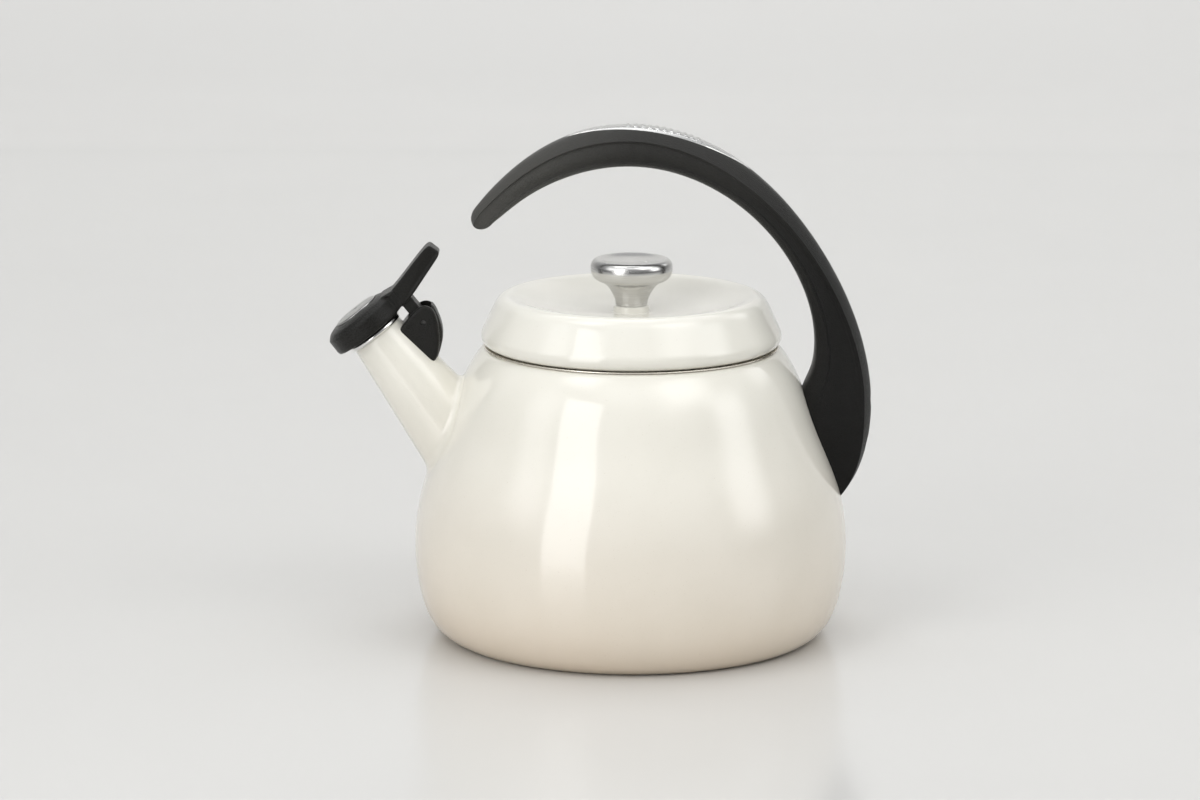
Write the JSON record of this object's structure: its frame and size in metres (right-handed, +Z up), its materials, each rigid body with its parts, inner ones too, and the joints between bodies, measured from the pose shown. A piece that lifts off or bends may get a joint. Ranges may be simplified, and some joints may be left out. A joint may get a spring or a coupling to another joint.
{
  "type": "whistling kettle",
  "caption": "Rounded cone-sided stovetop kettle with a lift-off lid and knob, an open-ended arched handle and a sprung whistle cap on its spout.",
  "frame": {"origin": "centre of the flat base, on the axis of the round body", "axes": "+Z up, spout towards -X, handle fixed at +X, symmetric about Y = 0"},
  "size_m": [0.2422, 0.1942, 0.2302],
  "materials": {
    "cream_enamel": "gloss enamel, cream fading to warm beige at the base",
    "base_enamel": "gloss enamel",
    "spout_enamel": "gloss enamel",
    "lid_enamel": "gloss enamel",
    "black_nylon": "fine-grained moulded black",
    "black_cap": "satin moulded black",
    "steel_brushed": "circular brushed",
    "steel_bright": "polished steel",
    "steel_plain": "plain",
    "spring_steel": "spring wire",
    "silicone": "moulded silicone"
  },
  "bodies": {
    "kettle": {"body_shell": "cream_enamel", "base_pan": "base_enamel", "spout_tube": "spout_enamel", "spout_mouth_ring": "steel_bright", "neck_rim_ring": "steel_bright", "handle_grip": "black_nylon", "handle_inlay_strip": "steel_brushed", "handle_bracket": "steel_plain", "handle_screws": "steel_plain", "hinge_housing": "black_cap", "hinge_stud_boss": "steel_plain", "hinge_screw": "steel_plain", "hinge_pin": "steel_plain", "cap_torsion_spring": "spring_steel"},
    "whistle_cap": {"whistle_cap_body": "black_cap", "cap_top_disc": "steel_brushed", "whistle_plate_upper": "steel_plain", "whistle_plate_lower": "steel_plain", "whistle_retainer": "black_cap", "cap_gasket": "silicone"},
    "lid": {"lid_shell": "lid_enamel", "lid_skirt": "steel_plain", "knob": "steel_brushed", "knob_screw": "steel_plain", "knob_lock_washer": "steel_plain"}
  },
  "joints": [
    {"name": "cap_hinge", "type": "hinge", "parent": "kettle", "child": "whistle_cap", "pos_m": [-0.0927, 0, 0.1419], "axis": [0, 1, 0], "range_deg": [0, 36], "stiffness_Nm_per_rad": 0.05, "springref_deg": -20.05, "deforming": ["cap_torsion_spring"]},
    {"name": "lid_lift", "type": "slide", "parent": "kettle", "child": "lid", "axis": [0, 0, 1], "range_m": [0, 0.028]}
  ]
}
